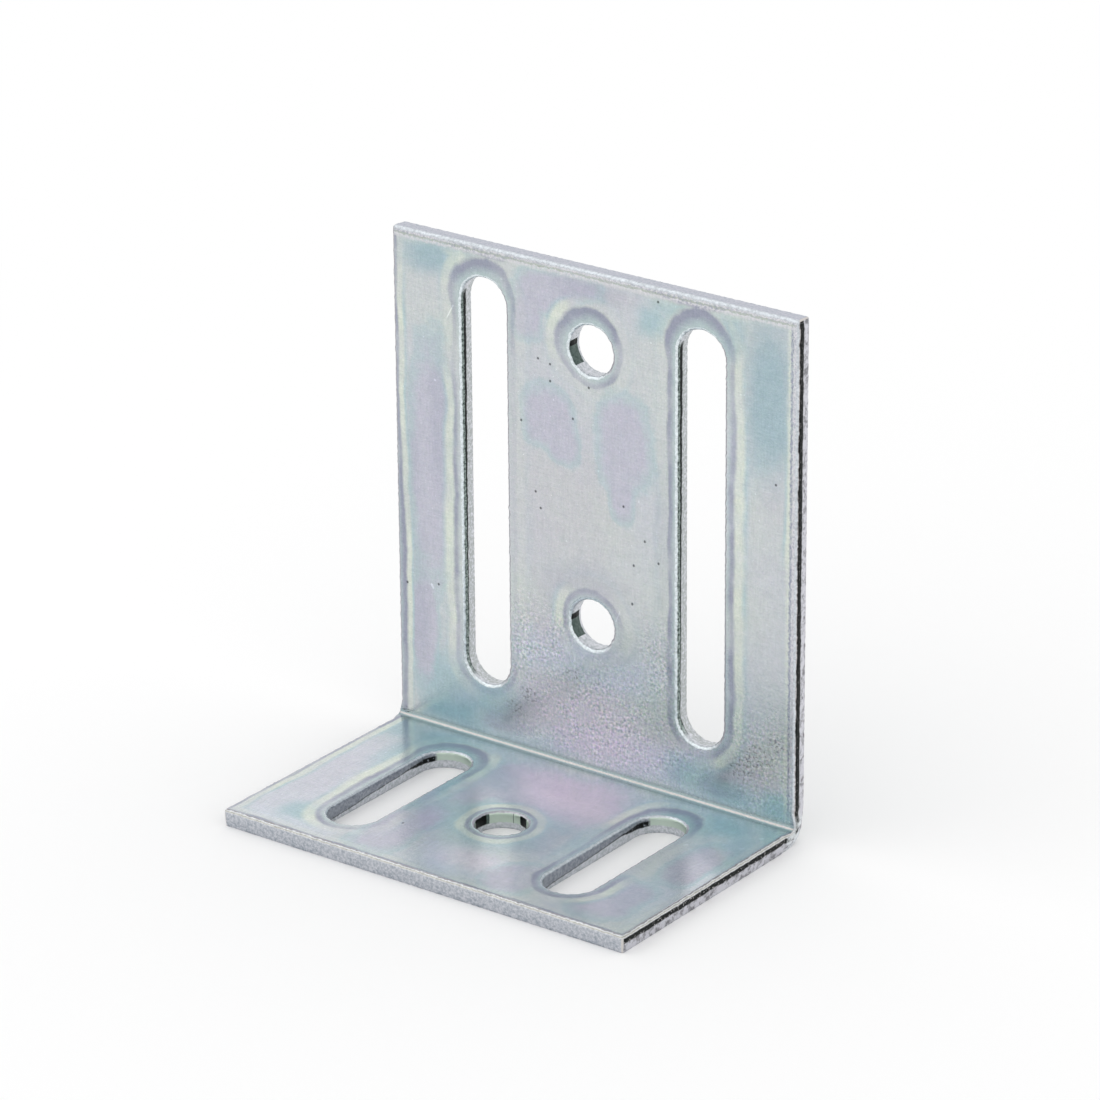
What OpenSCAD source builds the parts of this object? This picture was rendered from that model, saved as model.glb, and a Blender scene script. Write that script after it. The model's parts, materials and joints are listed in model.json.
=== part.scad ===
// Angle bracket, cut and folded from one piece of steel sheet.
// The wall leg stands up at the back, and the base leg runs forward from the fold.
// The frame's origin is the middle of the underside, with +Z up and the wall leg on the +Y side.

/* [Sheet] */
// Thickness of the sheet
sheet_t = 3; // [2:0.5:4]
// Width of the bracket, along the fold
bracket_w = 80; // [66:1:160]
// Height of the wall leg, from the underside of the base leg
wall_h = 90; // [85:1:200]
// Depth of the base leg, from the back of the wall leg
base_d = 50; // [46:1:120]

/* [Fold] */
// Radius on the inside of the fold
fold_r = 1; // [0.5:0.25:2.5]
// How far the squeezed metal swells out at each end of the fold
swell_h = 0.3; // [0.1:0.05:0.4]
// Radius of the patch that swells
swell_r = 2.2; // [1.5:0.1:3]
// How far the stretched metal draws in on the outside of the fold
draw_in_h = 0.35; // [0.1:0.05:0.5]
// Radius of the patch that draws in
draw_in_r = 5.5; // [3:0.5:8]

/* [Sheared edge] */
// Width and depth of the rounded lip that the shear leaves on the inner faces
lip = 0.5; // [0.2:0.05:0.7]
// Depth below the inner face at which the smooth land ends and the break starts
land_d = 1.5; // [0.9:0.1:1.8]
// How far the break leans back by the time it reaches the outer face
break_w = 0.15; // [0.05:0.05:0.3]
// Radius on the four free corners of the sheet
corner_r = 0.6; // [0.4:0.1:2.5]

/* [Slots in the wall leg] */
// Width of each slot
wall_slot_w = 9; // [5:0.5:11]
// Length of each slot, end to end
wall_slot_l = 71.5; // [30:0.5:74]
// Distance between the centre lines of the two slots
wall_slot_pitch = 43; // [34:0.5:48]
// Distance from the top edge to the end of a slot
wall_slot_gap = 5.5; // [3:0.5:7.5]

/* [Holes in the wall leg] */
// Diameter of both holes
wall_hole_d = 8.5; // [4:0.5:12]
// Distance from the top edge to the centre of the upper hole
wall_hole_gap = 13.5; // [10:0.5:20]
// Distance between the centres of the two holes
wall_hole_pitch = 47.5; // [20:0.5:52]

/* [Slots in the base leg] */
// Width of each slot
base_slot_w = 9; // [5:0.5:11]
// Length of each slot, end to end
base_slot_l = 32.5; // [15:0.5:34]
// Distance between the centre lines of the two slots
base_slot_pitch = 43.5; // [34:0.5:48]
// Distance from the front edge to the end of a slot
base_slot_gap = 7; // [3:0.5:8.5]

/* [Hole in the base leg] */
// Diameter of the hole
base_hole_d = 8.5; // [4:0.5:12]
// Distance from the front edge to the centre of the hole
base_hole_gap = 22; // [12:0.5:32]

/* [Hidden] */
$fn = 96;
// Radius on the outside of the fold
fold_out = fold_r + sheet_t;
// How far a cutter stands clear of the metal on its open side
clear = 1;
// How far a cutter passes the faces of the sheet, less than the radius inside the fold
past = fold_r / 2;
// The lip's arc is a little flatter than a quarter circle, so it meets both faces at a slight crease
lip_r = 1.2 * lip;
// Distance of the lip's arc centre from both faces, so that the arc starts and ends on them
lip_c = (lip + sqrt(2 * lip_r * lip_r - lip * lip)) / 2;
// Unit step along each leg from the fold's axis to the middle of its arc
diagonal = sqrt(0.5);

// Radius of a sphere that stands h proud of a plane over a patch of radius r
function cap_radius(h, r) = (r * r + h * h) / (2 * h);

// What a shear takes away beside an edge. The metal starts at x = edge, and y is the
// depth below the inner face: first the rounded lip, then the land, then the break.
// What is taken away reaches to x = back.
module sheared(edge, back) {
    polygon([
        [back, -past],
        [edge, -past],
        [edge, land_d],
        [edge + break_w, sheet_t],
        [edge + break_w, sheet_t + past],
        [back, sheet_t + past]
    ]);
    translate([edge, -past])
        square([lip, past]);
    translate([edge, 0])
        difference() {
            square(lip);
            translate([lip_c, lip_c])
                circle(lip_r);
        }
}

// A punched round hole. Its axis is z, and z = 0 is the inner face.
module punched_hole(d) {
    rotate_extrude()
        sheared(d / 2, 0);
}

// A punched slot with round ends, centred on the z axis and running along y.
module punched_slot(w, l) {
    straight = l - w;
    for (turn = [0, 180])
        rotate(turn) {
            translate([0, straight / 2, 0])
                rotate_extrude(angle = 180)
                    sheared(w / 2, 0);
            rotate([90, 0, 0])
                linear_extrude(straight, center = true)
                    sheared(w / 2, 0);
        }
}

// Puts a cutter on the inner face of the wall leg, at x and at height z.
module on_wall(x, z) {
    translate([x, -sheet_t, z])
        rotate([90, 0, 180])
            children();
}

// Puts a cutter on the inner face of the base leg, at x and at y.
module on_base(x, y) {
    translate([x, y, sheet_t])
        rotate([0, 180, 0])
            children();
}

// The section of both legs and the fold. The heel is at the origin.
module section() {
    translate([-sheet_t, fold_out])
        square([sheet_t, wall_h - fold_out]);
    translate([-base_d, 0])
        square([base_d - fold_out, sheet_t]);
    translate([-fold_out, fold_out])
        difference() {
            intersection() {
                circle(fold_out);
                translate([0, -fold_out])
                    square(fold_out);
            }
            circle(fold_r);
        }
}

// The section carried along a width, centred on x = 0.
module folded_strip(w) {
    rotate([90, 0, 90])
        linear_extrude(w, center = true)
            section();
}

// What the shear takes away along the left side of both legs and round the fold.
module side_shear() {
    translate([-bracket_w / 2, -sheet_t, fold_out])
        linear_extrude(wall_h - fold_out + clear)
            sheared(0, -clear);
    translate([-bracket_w / 2, -base_d - clear, sheet_t])
        rotate([-90, 0, 0])
            linear_extrude(base_d - fold_out + clear)
                sheared(0, -clear);
    translate([-bracket_w / 2, -fold_out, fold_out])
        rotate([0, 90, 0])
            rotate_extrude(angle = 90)
                translate([fold_r, 0])
                    mirror([1, -1])
                        sheared(0, -clear);
}

// What the shear takes away along the top of the wall leg and the front of the base leg.
module end_shear() {
    run = bracket_w + 2 * clear;
    translate([-run / 2, -sheet_t, wall_h])
        rotate([0, 90, 0])
            linear_extrude(run)
                sheared(0, -clear);
    translate([run / 2, -base_d, sheet_t])
        rotate([-90, 0, 90])
            linear_extrude(run)
                sheared(0, -clear);
}

// What rounds a free corner. The corner is at the origin, with the metal towards +x and +y.
module corner_shear() {
    linear_extrude(sheet_t + 2 * clear)
        difference() {
            translate([-clear, -clear])
                square(corner_r + clear);
            translate([corner_r, corner_r])
                circle(corner_r);
        }
}

// Both free corners on the left side: at the top of the wall leg and the front of the base leg.
module free_corners() {
    translate([-bracket_w / 2, -sheet_t - clear, wall_h])
        rotate([-90, 0, 0])
            corner_shear();
    translate([-bracket_w / 2, -base_d, -clear])
        corner_shear();
}

// A ball at the left end of the fold, level with radius r of its arc.
module fold_end_ball(x, r, ball_r) {
    translate([x, -fold_out + r * diagonal, fold_out - r * diagonal])
        sphere(ball_r);
}

// The squeezed metal that stands proud at the left end of the fold.
module swell() {
    ball_r = cap_radius(swell_h, swell_r);
    intersection() {
        fold_end_ball(ball_r - swell_h - bracket_w / 2, fold_r, ball_r);
        translate([-bracket_w / 2, 0, 0])
            folded_strip(2 * lip);
    }
}

// The hollow where the stretched metal draws in at the left end of the fold.
module draw_in() {
    ball_r = cap_radius(draw_in_h, draw_in_r);
    fold_end_ball(draw_in_h - ball_r - bracket_w / 2, fold_out, ball_r);
}

// Both ends of the width.
module both_sides() {
    children();
    mirror([1, 0, 0])
        children();
}

// Every hole and slot of both legs.
module punching() {
    wall_slot_z = wall_h - wall_slot_gap - wall_slot_l / 2;
    base_slot_y = base_slot_gap + base_slot_l / 2 - base_d;
    both_sides() {
        on_wall(wall_slot_pitch / 2, wall_slot_z)
            punched_slot(wall_slot_w, wall_slot_l);
        on_base(base_slot_pitch / 2, base_slot_y)
            punched_slot(base_slot_w, base_slot_l);
    }
    for (drop = [0, wall_hole_pitch])
        on_wall(0, wall_h - wall_hole_gap - drop)
            punched_hole(wall_hole_d);
    on_base(0, base_hole_gap - base_d)
        punched_hole(base_hole_d);
}

module angle_bracket() {
    color([0.72, 0.76, 0.78])
        translate([0, base_d / 2, 0]) {
            difference() {
                folded_strip(bracket_w);
                both_sides() {
                    side_shear();
                    free_corners();
                    draw_in();
                }
                end_shear();
                punching();
            }
            both_sides()
                swell();
        }
}

angle_bracket();
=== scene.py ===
"""The plated finish and the studio for an angle bracket cut and folded from steel sheet.

Lengths are in metres in the packed model's own frame: the origin is the middle of the
underside, +Z is up, and the wall leg stands on the +Y side. The sheet is first worked out
flat. A point of the flat sheet is (across, along, depth): across is x, along runs from the
front edge of the base leg round the fold to the top of the wall leg, and depth goes from
the inner face to the outer one.
"""

import json
import math

import bmesh
import bpy
import numpy as np
from mathutils import Matrix, Vector


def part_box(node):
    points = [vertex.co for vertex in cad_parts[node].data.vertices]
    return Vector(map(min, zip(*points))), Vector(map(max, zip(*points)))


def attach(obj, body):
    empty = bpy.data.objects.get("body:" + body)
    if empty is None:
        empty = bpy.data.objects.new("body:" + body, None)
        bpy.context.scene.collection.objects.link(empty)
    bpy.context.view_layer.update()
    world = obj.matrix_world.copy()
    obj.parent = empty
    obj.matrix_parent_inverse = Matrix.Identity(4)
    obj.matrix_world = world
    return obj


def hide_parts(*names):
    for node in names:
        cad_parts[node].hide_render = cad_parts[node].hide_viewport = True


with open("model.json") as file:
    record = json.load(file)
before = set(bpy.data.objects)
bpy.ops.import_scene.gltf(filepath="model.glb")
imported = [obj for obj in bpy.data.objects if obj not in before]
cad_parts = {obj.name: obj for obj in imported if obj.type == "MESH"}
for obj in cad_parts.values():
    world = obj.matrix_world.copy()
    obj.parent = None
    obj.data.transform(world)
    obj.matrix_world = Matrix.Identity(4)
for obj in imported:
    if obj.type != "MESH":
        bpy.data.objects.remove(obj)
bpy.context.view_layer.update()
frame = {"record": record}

bl_info = {
    "name": "Angle bracket",
    "version": (1, 0, 0),
    "blender": (4, 5, 0),
    "location": "3D View > Sidebar > Bracket",
    "description": "A folded sheet bracket with a zinc finish, and a studio to show it in",
    "category": "Add Mesh",
}

NODE = "angle_bracket"
BODY = "root"
MM = 0.001
MOUNTS = {mount["name"]: mount for mount in frame["record"]["mounts"]}
NODE_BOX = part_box(NODE)


def length(name, description, default):
    """A length in metres that the sidebar shows."""
    return bpy.props.FloatProperty(
        name=name, description=description, default=default, unit="LENGTH", precision=5)


def share(name, description, default):
    """A share from 0 to 1 that the sidebar shows."""
    return bpy.props.FloatProperty(
        name=name, description=description, default=default, min=0, max=1, subtype="FACTOR")


def angle(name, description, degrees):
    """An angle that the sidebar shows in degrees."""
    return bpy.props.FloatProperty(
        name=name, description=description, default=math.radians(degrees), unit="ROTATION")


def colour(name, description, default):
    """A colour that the sidebar shows."""
    return bpy.props.FloatVectorProperty(
        name=name, description=description, default=default, size=3, min=0, max=1,
        subtype="COLOR")


class BracketSheet(bpy.types.PropertyGroup):
    """Sizes of the folded sheet."""
    width: length("Width", "Width along the fold", 80 * MM)
    height: length("Height", "Height of the wall leg", NODE_BOX[1][2])
    reach: length("Depth", "Depth of the base leg", NODE_BOX[1][1] - NODE_BOX[0][1])
    thickness: length("Thickness", "Thickness of the sheet", MOUNTS["base_hole"]["pos_m"][2])
    fold_radius: length("Fold radius", "Radius on the inside of the fold", 1 * MM)
    corner_radius: length("Corner radius", "Radius on the free corners", 0.6 * MM)
    swell: length("Swell", "How far the squeezed metal stands out at the fold's ends", 0.28 * MM)
    swell_radius: length("Swell radius", "Radius of the patch that swells", 2.2 * MM)
    draw_in: length("Draw-in", "How far the stretched metal draws in", 0.35 * MM)
    draw_in_radius: length("Draw-in radius", "Radius of the patch that draws in", 5.5 * MM)


class BracketCut(bpy.types.PropertyGroup):
    """Sizes of the sheared and punched edges."""
    lip: length("Lip", "Width and depth of the rounded lip", 0.5 * MM)
    lip_wander: share("Lip wander", "How unevenly the lip is rounded, as a share of it", 0.14)
    land: length("Land", "Depth at which the smooth land ends and the break starts", 1.5 * MM)
    land_wander: length("Land wander", "How far the end of the land wanders", 0.16 * MM)
    break_lean: length("Break lean", "How far the break leans back", 0.15 * MM)
    break_relief: length("Break relief", "Height of the torn grain on the break", 0.035 * MM)
    burr: length("Burr", "Rounding left on the outer face's rim", 0.08 * MM)


class BracketMesh(bpy.types.PropertyGroup):
    """How finely the sheet is divided."""
    cell: length("Cell", "Size of a cell on the open faces", 0.95 * MM)
    window: length("Window", "Metal round a hole that takes its rings", 4 * MM)
    border: length("Border", "Metal along the sheet's outline that takes its rings", 2.6 * MM)
    turn_steps: bpy.props.IntProperty(
        name="Turn steps", description="Rows of cells round the fold", default=12, min=4)


class BracketFilm(bpy.types.PropertyGroup):
    """Colours of the clear film on the zinc, and of painted highlights and dark reflection lines on
    the inner faces.
    """
    open_cool: colour("Open, cool", "Open metal", (0.575, 0.60, 0.635))
    open_warm: colour("Open, warm", "Open metal under a thinner film", (0.59, 0.63, 0.62))
    pale: colour("Pale", "Brightest open metal", (0.62, 0.66, 0.73))
    teal: colour("Teal", "Broad patches, and the border of the clouds", (0.40, 0.54, 0.58))
    lilac: colour("Lilac", "Clouds", (0.53, 0.53, 0.61))
    pink: colour("Pink", "Clouds near the fold", (0.78, 0.70, 0.77))
    flush: colour("Flush", "Faint pinkish haze", (0.55, 0.53, 0.59))
    dull: colour("Dull", "What a thicker film leaves of the light", (0.90, 0.91, 0.93))
    mint: colour("Mint", "First band beside a rim", (0.46, 0.55, 0.56))
    violet: colour("Violet grey", "Second band", (0.33, 0.35, 0.43))
    straw: colour("Pale straw", "Third band", (0.68, 0.73, 0.65))
    sea: colour("Sea green", "Last band", (0.44, 0.57, 0.60))
    # Painted highlight along the inside of the fold, and painted dark reflection lines beside it.
    crease: colour("Crease", "Bright line along the inside of the fold", (0.54, 0.52, 0.51))
    crease_border: colour("Crease border", "Dull lines beside it", (0.26, 0.35, 0.36))
    # Painted highlight: whitish metal beside the wall leg's top and right lips, with a painted dark
    # line in it.
    rolled: colour("Rolled rim", "Whitish metal rolled over by the shear", (0.68, 0.68, 0.71))
    rolled_line: colour("Rolled line", "Dull line in the rolled metal", (0.46, 0.50, 0.46))


class BracketEdgeColours(bpy.types.PropertyGroup):
    """Colours down a cut edge, with painted highlights, glints, shade and dark reflections among
    them.
    """
    # Painted dark reflection line between the face and the lip.
    line: colour("Line", "Dull line between the face and the lip", (0.34, 0.32, 0.33))
    lip_cool: colour("Lip, cool", "Lip beside the face", (0.64, 0.68, 0.72))
    lip_warm: colour("Lip, warm", "Lip beside the land", (0.66, 0.63, 0.61))
    # Painted highlight on the lips in the wall leg's slots and holes.
    lip_bright: colour("Lip, bright", "Lip in the wall leg's slots and holes", (0.79, 0.86, 0.89))
    # Painted shade on lips that face left, and on the lips of the base leg's round holes.
    lip_turned: colour("Lip, turned away", "Lip on edges that face left", (0.42, 0.41, 0.45))
    # Painted dark reflection line along the lip.
    olive: colour("Olive line", "Thin dull line along the lip", (0.36, 0.40, 0.35))
    # Painted dark reflection: the near-black streak on the land of edges that face along x.
    streak: colour("Streak", "Burnished streak on the land", (0.010, 0.012, 0.012))
    # Painted dark reflection on the sides of the round holes.
    shade: colour("Shade", "Burnished sides of the round holes", (0.13, 0.17, 0.16))
    end_high: colour("End grain", "High grain on the front and top edges", (0.66, 0.67, 0.71))
    end_low: colour("End hollows", "Low grain on the front and top edges", (0.34, 0.38, 0.43))
    land_high: colour("Side land", "High grain on the side edges' land", (0.74, 0.71, 0.71))
    land_low: colour("Side land, low", "Low grain on the side edges' land", (0.30, 0.29, 0.30))
    side_high: colour("Side grain", "High grain on the side edges' break", (0.68, 0.68, 0.73))
    side_low: colour("Side hollows", "Low grain on the side edges' break", (0.26, 0.26, 0.28))
    # Painted glints on the cut edge at the ends of the fold.
    rubbed: colour("Rubbed", "Bright flecks at the ends of the fold", (0.84, 0.88, 0.90))
    top_high: colour("Top grain", "High grain on the top edge", (0.60, 0.60, 0.67))
    top_low: colour("Top hollows", "Low grain on the top edge", (0.44, 0.48, 0.54))
    slot_high: colour("Slot land", "High grain on the wall slots' land", (0.40, 0.47, 0.45))
    slot_low: colour("Slot land, low", "Low grain there", (0.07, 0.10, 0.09))
    slot_break: colour("Slot break", "Break below the wall slots' land", (0.44, 0.47, 0.46))
    base_slot_high: colour("Base slot land", "High grain on the base slots' land", (0.40, 0.43, 0.48))
    base_slot_low: colour("Base slot land, low", "Low grain there", (0.20, 0.22, 0.26))
    green: colour("Green", "Land in the base leg's round hole", (0.56, 0.66, 0.58))
    hole_high: colour("Hole grain", "High grain on the break in holes and slots", (0.74, 0.75, 0.80))
    hole_low: colour("Hole hollows", "Low grain there", (0.46, 0.50, 0.52))


class BracketStudio(bpy.types.PropertyGroup):
    """Floor, light and camera."""
    azimuth: angle("Azimuth", "Camera's turn from straight ahead", 36.65)
    elevation: angle("Elevation", "Camera's angle above the floor", 22.34)
    roll: angle("Roll", "Camera's roll", -0.46)
    distance: length("Distance", "From the camera to the point it is aimed by", 857 * MM)
    aim_height: length("Aim height", "Height of the point that the camera is aimed by", 40 * MM)
    aim_depth: length("Aim depth", "That point's place along y", 5 * MM)
    slide_right: length("Slide right", "Camera's place to the right of that line", 3.35 * MM)
    slide_up: length("Slide up", "Camera's place above that line", 7.34 * MM)
    lens: bpy.props.FloatProperty(
        name="Lens", description="Focal length", default=175.5, unit="CAMERA")
    floor: colour("Floor", "Colour of the floor", (0.96, 0.96, 0.96))
    floor_radius: length("Floor radius", "Radius of the floor", 3)
    clear_floor: length("Clear floor", "Radius within which the floor is plain", 0.09)
    white_floor: length("White floor", "Radius past which the floor is as white as the sky", 0.3)
    sky: bpy.props.FloatProperty(name="Sky", description="Light of the sky", default=1.0)
    lamp_size: length("Lamp size", "Width of the soft lamp", 1.2)
    lamp_power: bpy.props.FloatProperty(
        name="Lamp power", description="Power of the soft lamp", default=1.3, unit="POWER")
    lamp_place: bpy.props.FloatVectorProperty(
        name="Lamp place", description="Middle of the soft lamp", default=(-0.75, -0.45, 0.9),
        size=3, unit="LENGTH")


def fold_out(sheet):
    """Radius on the outside of the fold."""
    return sheet.fold_radius + sheet.thickness


def base_run(sheet):
    """Straight length of the base leg, from its front edge to the fold."""
    return sheet.reach - fold_out(sheet)


def turn_run(sheet):
    """Length of the fold along the middle of the sheet."""
    return math.pi / 2 * (sheet.fold_radius + sheet.thickness / 2)


def fold_end(sheet):
    """Place along the flat sheet where the fold ends and the wall leg starts."""
    return base_run(sheet) + turn_run(sheet)


def fold_share(sheet, along):
    """How far round the fold a place along the flat sheet is: 0 before it and 1 past it."""
    return np.clip((along - base_run(sheet)) / turn_run(sheet), 0, 1)


def wall_along(sheet, height):
    """Place along the flat sheet of a height on the wall leg."""
    return fold_end(sheet) + height - fold_out(sheet)


def base_along(sheet, y):
    """Place along the flat sheet of a y on the base leg."""
    return y + sheet.reach / 2


def flat_length(sheet):
    """Length of the flat sheet."""
    return wall_along(sheet, sheet.height)


def half_sheet(sheet):
    """Half the width and half the length of the flat sheet."""
    return np.array([sheet.width, flat_length(sheet)]) / 2


def folded(sheet, across, along, depth):
    """Points of the flat sheet on the folded one.

    Up to the fold a point goes straight along y. In the fold it turns about the fold's
    axis at the fold's radius plus its depth, and past the fold it goes straight up.
    """
    turn = fold_share(sheet, along) * math.pi / 2
    radius = sheet.fold_radius + depth
    front = np.minimum(along, base_run(sheet)) - sheet.reach / 2
    above = np.maximum(along - base_run(sheet) - turn_run(sheet), 0)
    y = front + radius * np.sin(turn)
    z = fold_out(sheet) - radius * np.cos(turn) + above
    return np.stack([across, y, z], -1)


def holes(sheet):
    """Every hole and slot as (across, along, half straight length, radius), from the mounts."""
    found = []
    for mount in MOUNTS.values():
        dims = mount["dims"]
        if "hole_r_mm" not in dims:
            continue
        x, y, z = mount["pos_m"]
        on_wall = abs(mount["axis"][1]) > 0.5
        middle = wall_along(sheet, z) if on_wall else base_along(sheet, y)
        radius = dims["hole_r_mm"] * MM
        straight = dims.get("slot_length_mm", 2 * dims["hole_r_mm"]) * MM / 2 - radius
        step = dims["spacing_y_mm"] * MM
        for number in range(dims["count"]):
            place = middle + (number - (dims["count"] - 1) / 2) * step
            found.append((x, place, straight, radius))
    return sorted(found)


def lines(stops, cell):
    """Grid lines through every stop, with even cells of about the given size between them."""
    stops = sorted(stops)
    parts = [np.array([stops[0]])]
    for start, end in zip(stops, stops[1:]):
        count = max(1, round((end - start) / cell))
        parts.append(np.linspace(start, end, count + 1)[1:])
    return np.concatenate(parts)


def merged(stops, cell):
    """The stops without those that lie closer together than a cell, the outermost kept."""
    stops = sorted(stops)
    kept = [stops[0]]
    for stop in stops[1:-1]:
        if stop - kept[-1] > cell and stops[-1] - stop > cell:
            kept.append(stop)
    return kept + [stops[-1]]


def nearest(values, value):
    """Index of the grid line nearest to a value."""
    return int(np.abs(values - value).argmin())


def loop_of(grid):
    """The outline of a block of the grid, once round, as one row."""
    return np.concatenate([grid[:-1, 0], grid[-1, :-1], grid[:0:-1, -1], grid[0, :0:-1]])


def mark_outline(mask):
    """Marks the outline of a block of the grid."""
    mask[[0, -1], :] = True
    mask[:, [0, -1]] = True


def with_middles(points):
    """The points of a closed row with the middle of each gap put in between."""
    middles = (points + np.roll(points, -1, axis=0)) / 2
    return np.stack([points, middles], 1).reshape(-1, 2)


def from_hole(points, hole):
    """The unit way from the nearest point of a slot's middle line, and the gap to its rim."""
    across, along, straight, radius = hole
    away = points - [across, along]
    away[:, 1] -= np.clip(away[:, 1], -straight, straight)
    far = np.linalg.norm(away, axis=1)
    return away / far[:, None], far - radius


def hole_rim(window, hole):
    """The rim of a hole or slot as seen from the points of its window.

    Each window point is taken to the nearest point of the slot's middle line, and the
    rim lies on that way at the slot's radius. Returns the rim, the unit way into the
    metal, and how far the window is from the rim.
    """
    way, gap = from_hole(window, hole)
    return window - way * gap[:, None], way, gap


# Length of the outline over which its points crowd towards a corner, and how fast the spread
# starts there.
CORNER_SPREAD = 7 * MM
CORNER_SLOPE = 0.35
# Less than any gap between two points.
NOTHING = 1e-7


def corner_spread(short, extra, spread):
    """Distance from the middle of a rounded corner for a distance from the border's corner.

    A cubic that starts at nothing with a slope of about a third, so that points crowd
    into the round, and joins the straight distance plus extra after the spread.
    """
    t = np.clip(short / spread, 0, 1)
    end = spread + extra
    start_slope = CORNER_SLOPE * spread
    cubic = (3 * t ** 2 - 2 * t ** 3) * end
    cubic += (t ** 3 - 2 * t ** 2 + t) * start_slope + (t ** 3 - t ** 2) * spread
    return np.where(short < spread, cubic, short + extra)


def sheet_rim(window, sheet, border):
    """The sheet's outline as seen from the points of the border's inner rectangle.

    The outline is a rectangle with rounded corners. A point's distance from the corner
    becomes a length along the outline, first along the straight side and then round
    the corner's arc. Returns the same three things as hole_rim.
    """
    half = half_sheet(sheet)
    round_r = sheet.corner_radius
    centred = window - [0, half[1]]
    sign = np.sign(centred)
    inner = half - border
    on_end = np.abs(centred[:, 1]) > inner[1] - NOTHING
    main = np.where(on_end, 0, 1)
    row = np.arange(len(window))
    run = np.abs(centred)[row, main]
    half_run, inner_run = half[main], inner[main]
    arc = round_r * math.pi / 4
    total = half_run - round_r + arc
    length_along = total - corner_spread(inner_run - run, total - inner_run, CORNER_SPREAD)
    turn = np.maximum(length_along - (half_run - round_r), 0) / round_r
    out = np.zeros_like(window)
    out[row, main] = np.sin(turn)
    out[row, 1 - main] = np.cos(turn)
    core = np.zeros_like(window)
    core[row, main] = np.minimum(length_along, half_run - round_r)
    core[row, 1 - main] = half[1 - main] - round_r
    rim = sign * (core + round_r * out) + [0, half[1]]
    return rim, -sign * out, np.full(len(window), border)


def ripple(run, total, shortest, longest, seed):
    """An uneven line round a closed rim, with a mean square of one.

    A sum of cosines, each with a whole number of waves round the rim, between the two
    wavelengths, with seeded heights and phases.
    """
    rng = np.random.default_rng(seed)
    waves = np.arange(math.ceil(total / longest), math.floor(total / shortest) + 1)
    height = rng.normal(size=len(waves))
    phase = rng.uniform(0, 2 * math.pi, len(waves))
    line = np.cos(2 * math.pi * run[:, None] / total * waves + phase) @ height
    return line / math.sqrt((height ** 2).sum() / 2)


# Shortest wave of the uneven lines along an edge.
SHORTEST_RIPPLE = 0.9 * MM
# The lip's arc: its radius in lip widths, its rows, and its most as a share of a corner's radius.
LIP_RADIUS = 1.2
LIP_ROWS = 6
LIP_TO_CORNER = 0.92
# Rows down the land and down the break, as shares of each.
LAND_ROWS = (0.3, 0.65, 1)
BREAK_ROWS = (0.12, 0.35, 0.6, 0.82, 1)


def edge_rows(sheet, cut, rim, seed):
    """The rows down a cut edge, each as (inset, depth) for every point of the rim.

    The lip is an arc a little flatter than a quarter circle, then the land goes straight
    down, and the break leans back with torn grain on it to a small round at the rim.
    """
    step = np.linalg.norm(np.roll(rim, -1, axis=0) - rim, axis=1)
    run = np.concatenate([[0], np.cumsum(step)[:-1]])
    total = step.sum()
    wander = cut.lip_wander * ripple(run, total, SHORTEST_RIPPLE, 7 * MM, seed)
    lip = np.minimum(cut.lip * (1 + wander), sheet.corner_radius * LIP_TO_CORNER)
    slow = ripple(run, total, 3 * MM, 14 * MM, seed + 1)
    quick = ripple(run, total, SHORTEST_RIPPLE, 2.5 * MM, seed + 2)
    land = cut.land + cut.land_wander * (0.75 * slow + 0.45 * quick)
    lip_centre = (1 + math.sqrt(2 * LIP_RADIUS ** 2 - 1)) / 2
    first = math.atan2(-lip_centre, 1 - lip_centre)
    last = -math.pi / 2 - (first + math.pi)
    rows = []
    for bend in np.linspace(first, last, LIP_ROWS):
        inset = lip_centre + LIP_RADIUS * math.cos(bend)
        depth = lip_centre + LIP_RADIUS * math.sin(bend)
        rows.append((lip * max(inset, 0), lip * max(depth, 0)))
    for part in LAND_ROWS:
        rows.append((np.zeros_like(lip), lip + (land - lip) * part))
    bottom = sheet.thickness - cut.burr
    for number, part in enumerate(BREAK_ROWS):
        grain = ripple(run, total, SHORTEST_RIPPLE, 2.4 * MM, seed + 3 + number)
        torn = cut.break_relief * np.clip(0.8 + 0.6 * grain, 0, 2.2)
        rows.append((cut.break_lean * part + torn, land + (bottom - land) * part))
    rows.append((rows[-1][0] + cut.burr, np.full_like(lip, sheet.thickness)))
    return rows


class FlatMesh:
    """Vertices of the flat sheet and the faces between them."""

    def __init__(self):
        self.points = []
        self.facing = []
        self.kind = []
        self.faces = []
        self.cut = []
        self.count = 0

    def add(self, flat, depth, facing=0.0, kind=0.0):
        """Adds points of (across, along) at a depth and returns their numbers."""
        points = np.column_stack([flat, np.broadcast_to(depth, len(flat))])
        self.points.append(points)
        self.facing.append(np.broadcast_to(facing, flat.shape))
        self.kind.append(np.broadcast_to(kind, len(flat)))
        self.count += len(points)
        return np.arange(self.count - len(points), self.count)

    def face(self, corners, cut=False):
        """Adds faces, given as one column of vertex numbers for each corner."""
        rows = np.column_stack(corners)
        self.faces += rows.tolist()
        self.cut += [cut] * len(rows)

    def join(self, one, two, cut=False):
        """Adds the faces between two closed rows, of which one may have twice the points."""
        if len(one) == len(two):
            self.face([one, np.roll(one, -1), np.roll(two, -1), two], cut)
            return
        coarse, fine = (one, two) if len(one) < len(two) else (two, one)
        even, odd = fine[0::2], fine[1::2]
        self.face([coarse, np.roll(coarse, -1), np.roll(even, -1), odd, even], cut)


# Distances from the rim, in millimetres, of the fine rings on the inner and the outer face, and
# of the first coarse one.
INNER_INSETS = (0.72, 0.98, 1.3, 1.75)
OUTER_INSETS = (0.42, 0.66, 0.98, 1.3, 1.75)
COARSE_INSET = 2.2
# Kinds of rim.
OUTLINE, IN_SLOT, IN_HOLE = 0, 1, 2
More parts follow.
